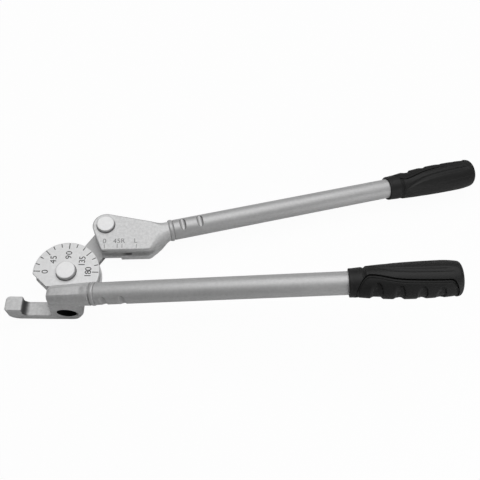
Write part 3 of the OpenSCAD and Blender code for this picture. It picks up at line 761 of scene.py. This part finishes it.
for part, body, frame_of, tube_start, grip, crimp, bead_size, finger_side in (
    ("fixed", "fixed_handle", FIXED_FRAME, FIXED_TUBE_START, FIXED_GRIP,
     (178, 3.0, 0.0, FIXED_CRIMPS), (BEAD_W, 1.2), 180),
    ("shoe", "shoe_handle", SHOE_AXIS_FRAME, SHOE_TUBE_START, SHOE_GRIP,
     (90, 2.1, 0.6, SHOE_CRIMPS), (BEAD_W + 0.9, 1.6), 0),
):
    tube_end = sum(grip) - GRIP_FLOOR - 1
    dress(handle_tube(part + "_tube_crimped", tube_start, tube_end, crimp, frame_of),
          body, "tube_steel", TUBE_STEEL, nodes=[part + "_tube"])
    dress(bead(part + "_bead", tube_start, *bead_size, frame_of),
          body, "tube_steel", TUBE_STEEL, nodes=[part + "_collar"])
    dress(grip_body(part + "_grip_moulded", *grip, finger_side, frame_of),
          body, "grip_hard", GRIP_HARD, nodes=[part + "_grip"])
    dress(grip_inlay(part + "_finger_panel", *grip, finger_side, frame_of),
          body, "grip_soft", GRIP_SOFT, nodes=[part + "_grip_inlay"])


# fixed head

def head_boss():
    """Round boss on the handle axis: a profile that tapers to a rounded back end goes round the axis,
    and a flat along the top stops the height at a share of the radius. The front and the
    channel beside the bead get a little painted shade."""
    end_r = HANDLE_R - 1.5
    bead_at = FIXED_TUBE_START - BEAD_W
    x, radius = np.concatenate([
        [[-11.4, 0.01], [-11.4, end_r - 5]],
        round_edge((-7.0, end_r - 4.4), 4.4, 180, 90, 12),
        np.stack([np.linspace(-6, bead_at - 1.6, 40), np.linspace(end_r + 0.06, HANDLE_R, 40)], -1),
        [[bead_at - 0.9, HANDLE_R - 0.7], [bead_at + 0.3, HANDLE_R - 0.7], [bead_at + 0.3, 0.01]],
    ]).T[..., None]
    a = np.linspace(0, 2 * np.pi, 180, endpoint=False)
    flat = radius * (0.93 + 0.07 * smooth((x - 19) / 6))
    # painted shade on the boss's front and in the channel beside the bead
    scale = 0.2 * smooth((-np.cos(a) - 0.3) / 0.15) + 0.45 * smooth((x - bead_at + 1.5) / 0.5)
    grid = np.stack([x + 0 * a, radius * np.cos(a), np.minimum(radius * np.sin(a), flat)], -1)
    return skin("head_boss", placed(grid, FIXED_FRAME), sharp=12, painted_shade=scale)


def lug_outline(top_left, top_right):
    """Front view of the lug: square to the hook, round at its lower right corner."""
    return Outline([[HEAD_LEFT, FOOT], [HEAD_RIGHT, FOOT], [HEAD_RIGHT, top_right], [HEAD_LEFT, top_left]],
                   [1.6, 12, 1.6, 1.6], 17)


def bored_block(name, outline, front, back, edge, bore, lean=0):
    """Block with a round hole: rows of the inset outline from the back to the front, then rows of
    circles down the hole, each circle point in the direction of its outline point. The front edge is
    rounder on the right side, by a factor that grows with x, and plain at the top. lean is how far the
    top of the front lies back at the left end. bore gives the radius and depth of each circle."""
    insets, depths = edge_rows(-back, -front, edge)
    points, away = outline.spread(240)
    rounder = 1 + 2.2 * smooth((points[:, 0] - HEAD_RIGHT + 7) / 6) * smooth((4 - points[:, 1]) / 6)
    rounder *= 1 - 0.96 * smooth((points[:, 1] - 8) / 3) * (lean > 0)
    grow = np.where((np.arange(len(insets)) >= len(insets) // 2)[:, None], rounder, 1)
    rows = points - away * (insets[:, None] * grow)[..., None]
    depths = front + (-depths[:, None] - front) * grow
    back_off = lean * (1 - (rows[..., 0] + 10.5) / 38) * smooth((rows[..., 1] - FIXED_AXIS_Z + 10) / 10)
    depths = depths + back_off * smooth((depths - back) / (front - back))
    way = unit(rows[-1] - BENCH_AT)
    points = np.concatenate([rows, [BENCH_AT + way * r for r, _ in bore]])
    depths = np.concatenate([depths, [np.full(len(way), d) for _, d in bore]])
    # the hole's rows take the second material, the near-black painted shade
    tints = np.zeros(len(points) - 1, int)
    tints[len(insets) + 1:] = 1
    return skin(name, lying_y(points, depths), tints=tints)


def head_hook():
    """Hook arm with its tooth: the front view outline carried along the tube. Each row is inset at the
    rounded ends, and in plan the tooth's outer corners are arcs: x is at least the tooth's end plus
    radius - sqrt(radius^2 - d^2), d being how far the row lies inside the arc. The tube's seat gets
    painted shade."""
    root = HEAD_LEFT + 0.05
    outline = Outline(
        [[TOOTH_OUT, FOOT], [-7, FOOT], [-7, SHELF_Z + 7], [root, SHELF_Z + 7], [root, SHELF_Z],
         [TOOTH_IN - 1, SHELF_Z], [TOOTH_IN, TOOTH_TOP], [TOOTH_OUT, TOOTH_TOP]],
        [10, 1, 1, 1, 3.5, 4.5, 1.2, 1.6], 13)
    front, back, edge = HEAD_FRONT - 0.02, HEAD_FRONT + 13, 0.8
    insets, depths = edge_rows(front, back, edge)
    more = np.concatenate([front + np.linspace(1, 3, 6), back - np.linspace(4.6, 1, 12)])
    depths = np.concatenate([depths[:6], more, depths[6:]])
    insets = np.concatenate([insets[:6], np.zeros(len(more)), insets[6:]])
    points = np.stack([outline.inset(i) for i in insets])
    corner = np.where(depths > (front + back) / 2, 4.5, 2.0)
    inside = np.clip(np.where(corner > 3, depths - back, front - depths) + corner, 0, corner)
    least = TOOTH_OUT + corner - np.sqrt(corner ** 2 - inside ** 2)
    points[..., 0] = np.maximum(points[..., 0], least[:, None])
    x, z = points[..., 0], points[..., 1]
    # painted shade in the tube's seat beside the tooth
    seat = smooth((TOOTH_IN + 5 - x) / 5) * smooth((TOOTH_TOP - 0.3 - z) / 1.5)
    seat = seat * (x > TOOTH_IN - 1.3) * (z > SHELF_Z - 0.1) * (insets < 0.5 * edge)[:, None]
    depths = np.broadcast_to(depths[:, None], points.shape[:2])
    return skin("head_hook", lying_y(points, depths), painted_shade=seat)


rise = math.tan(math.radians(FIXED_TILT))
front_lug = lug_outline(FIXED_AXIS_Z + HEAD_LEFT * rise, FIXED_AXIS_Z + HEAD_RIGHT * rise)
rear_lug = lug_outline(DIE_TOP - 1, DIE_TOP - 1)
bore_end = HEAD_FRONT + BENCH_DEPTH
bore_front = [(BENCH_R + 1.2, HEAD_FRONT), (BENCH_R + 0.1, HEAD_FRONT + 0.9), (BENCH_R, bore_end),
              (SCREW_RECESS_R, bore_end)]
bore_rear = [(SCREW_RECESS_R, SEAT_FRONT), (SCREW_RECESS_R, SEAT_FRONT + 5.6)]
dress(head_boss(), "fixed_handle", "forged_steel", BOSS_HIGHLIGHT_STEEL, nodes=["fixed_head"])
dress(bored_block("head_lug", front_lug, HEAD_FRONT, LUG_BACK, 1.1, bore_front, 1.4),
      "fixed_handle", "forged_steel", FORGED_STEEL, BORE_SHADE)
dress(bored_block("head_seat", rear_lug, SEAT_FRONT, -DIE_SEAT, 0.9, bore_rear),
      "fixed_handle", "forged_steel", FORGED_STEEL, BORE_SHADE)
dress(head_hook(), "fixed_handle", "forged_steel", HOOK_LIT_STEEL)


# slide shoe

def groove_axes(plan):
    """Along and across the shoe's groove: e = x cos b - y sin b, q = -(x sin b + y cos b)."""
    b = math.radians(SHOE_GROOVE_TURN)
    c, s = math.cos(b), math.sin(b)
    return plan[..., 0] * c - plan[..., 1] * s, -(plan[..., 0] * s + plan[..., 1] * c)


def from_groove(e, q):
    """Plan point of a place along and across the groove."""
    b = math.radians(SHOE_GROOVE_TURN)
    c, s = math.cos(b), math.sin(b)
    return np.stack([e * c - q * s, -e * s - q * c], -1)


def meeting(p, d, q, f):
    """Where the line through p along d meets the line through q along f."""
    k = ((q[0] - p[0]) * f[1] - (q[1] - p[1]) * f[0]) / (d[0] * f[1] - d[1] * f[0])
    return p + k * d


def touching(point, radius, sign):
    """Direction from a point along the line that touches the pin's circle on one side."""
    away = math.atan2(-point[1], -point[0]) + sign * math.asin(radius / np.linalg.norm(point))
    return np.array([math.cos(away), math.sin(away)])


def shoe_body():
    """Forged shoe: columns follow its plan outline, rows go from the middle of the underside over the
    rounded edges and the wall to the middle of the top. The edge radius grows towards the neck until
    the section is round, sooner along the top of the flank beside the groove, and wall points that lie
    in the tube groove move back to q = groove centre - sqrt(groove radius^2 - z^2). The groove's lower
    lip, a slit along it, the groove's near end, the flank and the back edge get painted shade."""
    neck_end = SHOE_TUBE_START - BEAD_W + 0.4
    near, far = from_groove(np.array(SHOE_FRONT), np.array([SHOE_EDGE, SHOE_EDGE]))
    dip = np.array(SHOE_DIP)
    top_corner = meeting(dip, touching(dip, SHOE_END_R, -1), near, touching(near, SHOE_END_R, 1))
    shape = Outline(
        [top_corner, near, far, [55.5, -22.4], [neck_end, -22.8], [neck_end, -5.0], [54.0, -5.4], dip],
        [SHOE_END_R, 1.6, 7, 10, 0.05, 0.05, 6, 14], 40)
    loop = np.concatenate([shape.points, shape.points[:1]])
    turns = np.concatenate([shape.normals, shape.normals[:1]])
    run = np.concatenate([[0], np.cumsum(np.linalg.norm(np.diff(loop, axis=0), axis=1))])
    apart = np.append(np.diff(run) > 1e-6, True)
    loop, turns, run = loop[apart], turns[apart], run[apart]
    e, _ = groove_axes(loop)
    start = run[np.argmin(np.linalg.norm(loop - np.array(SHOE_BACK), axis=1))]
    total = run[-1]

    def place_at(forwards, value, on):
        """Distance along the outline, counted from the start, where a measure first passes a value."""
        s = np.linspace(0, total, 6001)
        s = s if forwards else s[::-1]
        w = (start + s) % total
        found = np.interp(w, run, on)
        return s[np.argmax(found > value)]

    def stops(forwards, first):
        """Where one side starts, passes the relief, passes the neck's beginning and ends."""
        return [first, place_at(forwards, RELIEF_AT, e), place_at(forwards, SPLIT_X, loop[:, 0]),
                place_at(forwards, neck_end - 0.06, loop[:, 0])]

    lower, upper = stops(True, 0), stops(False, total)
    counts = [110, 60, 44]

    def chain(side):
        """Stations along one side, with each place between two parts taken twice."""
        parts = [np.linspace(a, b, n) for a, b, n in zip(side[:-1], side[1:], counts)]
        return np.concatenate(parts)

    spine_a, spine_d = np.array([0.0, -4.0]), np.array([neck_end, -13.9])
    ea, ed = groove_axes(spine_a)[0], groove_axes(spine_d)[0]
    spine_b = spine_a + (spine_d - spine_a) * (RELIEF_AT - ea) / (ed - ea)
    spine_c = spine_a + (spine_d - spine_a) * (SPLIT_X - spine_a[0]) / (spine_d[0] - spine_a[0])
    legs = [(spine_a, spine_b), (spine_b, spine_c), (spine_c, spine_d)]
    spine = np.concatenate([np.linspace(p, q, n) for (p, q), n in zip(legs, counts)])
    low_z = np.concatenate([np.full(counts[0], SHOE_RELIEF), np.full(counts[1] + counts[2], SHOE_LOW)])

    s = np.concatenate([chain(lower), chain(upper)[::-1]])
    w = (start + s) % total
    base = np.stack([np.interp(w, run, loop[:, k]) for k in (0, 1)], -1)
    away = unit(np.stack([np.interp(w, run, turns[:, k]) for k in (0, 1)], -1))
    middle = np.concatenate([spine, spine[::-1]])
    round_up = smooth((base[:, 0] - NECK_FROM) / (neck_end - NECK_FROM))
    flank = np.where(base[:, 1] < -14, smooth((base[:, 0] - 32.5) / 16), 0)
    low_edge = SHOE_EDGE_R + 7.6 * np.maximum(round_up, 0.3 * flank)
    top_edge = SHOE_EDGE_R + 7.6 * np.maximum(round_up, flank)
    bottom = np.concatenate([low_z, low_z[::-1]]) * (1 - round_up) - NECK_R * round_up
    top = SHOE_TOP * (1 - round_up) + NECK_R * round_up

    quarter = np.linspace(0, np.pi / 2, 7)
    inset, climb = 1 - np.sin(quarter), 1 - np.cos(quarter)
    wall = np.linspace(0, 1, 46)[1:-1]
    inset = np.concatenate([inset[:, None] * low_edge, 0 * wall[:, None] * low_edge,
                            inset[::-1, None] * top_edge])
    foot = bottom + low_edge
    head = np.maximum(top - top_edge, foot)
    z = np.concatenate([bottom + climb[:, None] * low_edge, foot + (head - foot) * wall[:, None],
                        top - climb[::-1, None] * top_edge])
    plan = base - away * inset[..., None]
    for share in (0.08, 1.0):
        ends = plan[[0, -1]] * (1 - share) + middle * share
        plan = np.concatenate([ends[:1], plan, ends[1:]])
        z = np.concatenate([[bottom], z, [top]])
    along, across = groove_axes(plan)
    hollow = np.sqrt(np.clip(GROOVE_R ** 2 - z ** 2, 0, None))
    limit = np.where(np.abs(z) < GROOVE_R, SHOE_GROOVE_AT - hollow, 1e3)
    plan = from_groove(along, np.minimum(across, limit))
    # painted shade: a dark slit along the groove's lower lip, the groove's near end and the flank
    slit = smooth((along - 13) / 6) * smooth((23.6 - along) / 0.8)
    low_lip = np.abs(z + 4.05)
    dark = 0.15 * np.exp(-(low_lip / 1.2) ** 2) + 0.75 * slit * smooth((0.85 - low_lip) / 0.6)
    dark += 0.6 * np.exp(-((z - 6) / 1.5) ** 2) * smooth((3 - along) / 4)
    dark *= across > 15
    dark += 0.12 * flank * (z < SHOE_TOP - 2)
    # painted shade along the top back edge
    facing = smooth((away @ np.array([-0.4, 0.92]) - 0.2) / 0.4) * (1 - round_up)
    dark[-9:-2] += np.array([0.55, 0.55, 0.55, 0.55, 0.5, 0.35, 0])[:, None] * facing
    return skin("shoe_forging", placed(lying_z(plan, z), SHOE_FRAME), sharp=32, painted_shade=dark)


def shoe_marks():
    """Four short lines behind the groove's edge, and their figures."""
    e = np.array([-0.4, 11.1, 15.4, 28.3])

    def flat(e, back):
        """Plan places along the groove, at a distance behind its edge."""
        plan = from_groove(e, np.full(4, SHOE_EDGE - back))
        return placed(lying_z(plan, np.zeros(4)), SHOE_FRAME)[:, :2]

    lines = strips("shoe_mark_lines", flat(e, 1.4), flat(e, 5.4), np.full(4, 0.5), SHOE_TOP + 0.02)
    dress(lines, "shoe_handle", "shoe_steel", SHOE_MARK_FILL)
    spots = flat(np.array([-0.5, 10.6, 16.1, 27.6]), 8.6).tolist()
    turn = SHOE_TURN - SHOE_GROOVE_TURN
    items = [(text, spot, turn) for text, spot in zip(["0", "45", "R", "L"], spots)]
    piece = figures("shoe_mark_figures", items, 6.6, SHOE_TOP, 0)
    dress(piece, "shoe_handle", "shoe_steel", SHOE_MARK_FILL)


dress(shoe_body(), "shoe_handle", "shoe_steel", SHOE_STEEL, nodes=["shoe_head"])
shoe_marks()

kept = {"die_screw": SCREW_STEEL, "die_dowels": PIN_STEEL, "die_pin_washer": LINK_STEEL,
        "die_pin_clip": SCREW_STEEL, "shoe_pin_washer": LINK_STEEL, "shoe_pin_clip": SCREW_STEEL,
        "link_bush_die": BUSH_BRONZE, "link_bush_shoe": BUSH_BRONZE, "die_thrust_washer": BUSH_BRONZE,
        "shoe_thrust_washer": BUSH_BRONZE}
for node, material in kept.items():
    frame["nodes"][node].data.materials.clear()
    frame["nodes"][node].data.materials.append(material)


# floor, light and camera

def pale_cove():
    """Pale floor that rises to a wall all round: radius and height of each ring, carried round the
    middle. It is white to the camera and keeps a faint shadow."""
    bend = round_edge((3.0, 1.0), 1.0, -90, 0, 12)
    ring = np.concatenate([[[0.01, 0.0], [1.5, 0.0]], bend, [[4.0, 2.6]]])
    ring[:, 1] += FOOT * MM - 0.0003
    a = np.linspace(0, 2 * np.pi, 72, endpoint=False)
    grid = np.stack([ring[:, :1] * np.cos(a), ring[:, :1] * np.sin(a), ring[:, 1:] + 0 * a], -1)
    rows, cols = grid.shape[:2]
    at = np.arange(rows * cols).reshape(rows, cols)
    low, high = at[:-1], at[1:]
    quads = np.stack([low, high, np.roll(high, -1, 1), np.roll(low, -1, 1)], -1).reshape(-1, 4)
    mesh = bpy.data.meshes.new("pale_cove")
    mesh.from_pydata(grid.reshape(-1, 3), [], quads.tolist() + [at[0].tolist()])
    mesh.shade_smooth()
    cove = bpy.data.objects.new("pale_cove", mesh)
    bpy.context.scene.collection.objects.link(cove)
    material = bpy.data.materials.new("pale_cove")
    material.use_nodes = True
    tree = material.node_tree
    shader = tree.nodes["Principled BSDF"]
    shader.inputs["Base Color"].default_value = (0.7, 0.7, 0.7, 1)
    shader.inputs["Roughness"].default_value = 0.9
    glow = tree.nodes.new("ShaderNodeEmission")
    glow.inputs["Strength"].default_value = 1.0
    rays = tree.nodes.new("ShaderNodeLightPath")
    seen = math_node(tree, "MULTIPLY", rays.outputs["Is Camera Ray"], FLOOR_WHITE)
    mix = tree.nodes.new("ShaderNodeMixShader")
    tree.links.new(seen, mix.inputs[0])
    tree.links.new(shader.outputs[0], mix.inputs[1])
    tree.links.new(glow.outputs[0], mix.inputs[2])
    tree.links.new(mix.outputs[0], tree.nodes["Material Output"].inputs["Surface"])
    mesh.materials.append(material)


def soft_light(name, place, aim, size, watts):
    """Square soft box at a place, turned to a point."""
    data = bpy.data.lights.new(name, "AREA")
    data.energy = watts
    data.size = size
    lamp = bpy.data.objects.new(name, data)
    lamp.location = place
    lamp.rotation_euler = Vector(np.array(aim) - np.array(place)).to_track_quat("-Z", "Y").to_euler()
    bpy.context.scene.collection.objects.link(lamp)


def studio():
    """Dim even world, one large soft box above the tool and a weak fill at the grips."""
    world = bpy.data.worlds.new("studio")
    bpy.context.scene.world = world
    world.use_nodes = True
    world.node_tree.nodes["Background"].inputs["Color"].default_value = (0.03, 0.03, 0.03, 1)
    world.node_tree.nodes["Background"].inputs["Strength"].default_value = 1.0
    soft_light("top_box", (0.12, 0.68, 2.15), (0.12, 0.0, 0.0), 2.3, 48)
    soft_light("grip_fill", (0.52, -0.32, 0.16), (0.3, 0.0, 0.05), 0.3, 0.6)


def set_camera():
    """Camera at the photograph's place."""
    data = bpy.data.cameras.new("camera")
    data.lens = LENS
    data.sensor_width = 36
    data.clip_start = 0.01
    camera = bpy.data.objects.new("camera", data)
    camera.location = CAMERA_AT
    camera.rotation_euler = [math.radians(a) for a in CAMERA_TURN]
    bpy.context.scene.collection.objects.link(camera)
    bpy.context.scene.camera = camera


pale_cove()
studio()
set_camera()
bpy.context.scene.view_settings.view_transform = "Standard"
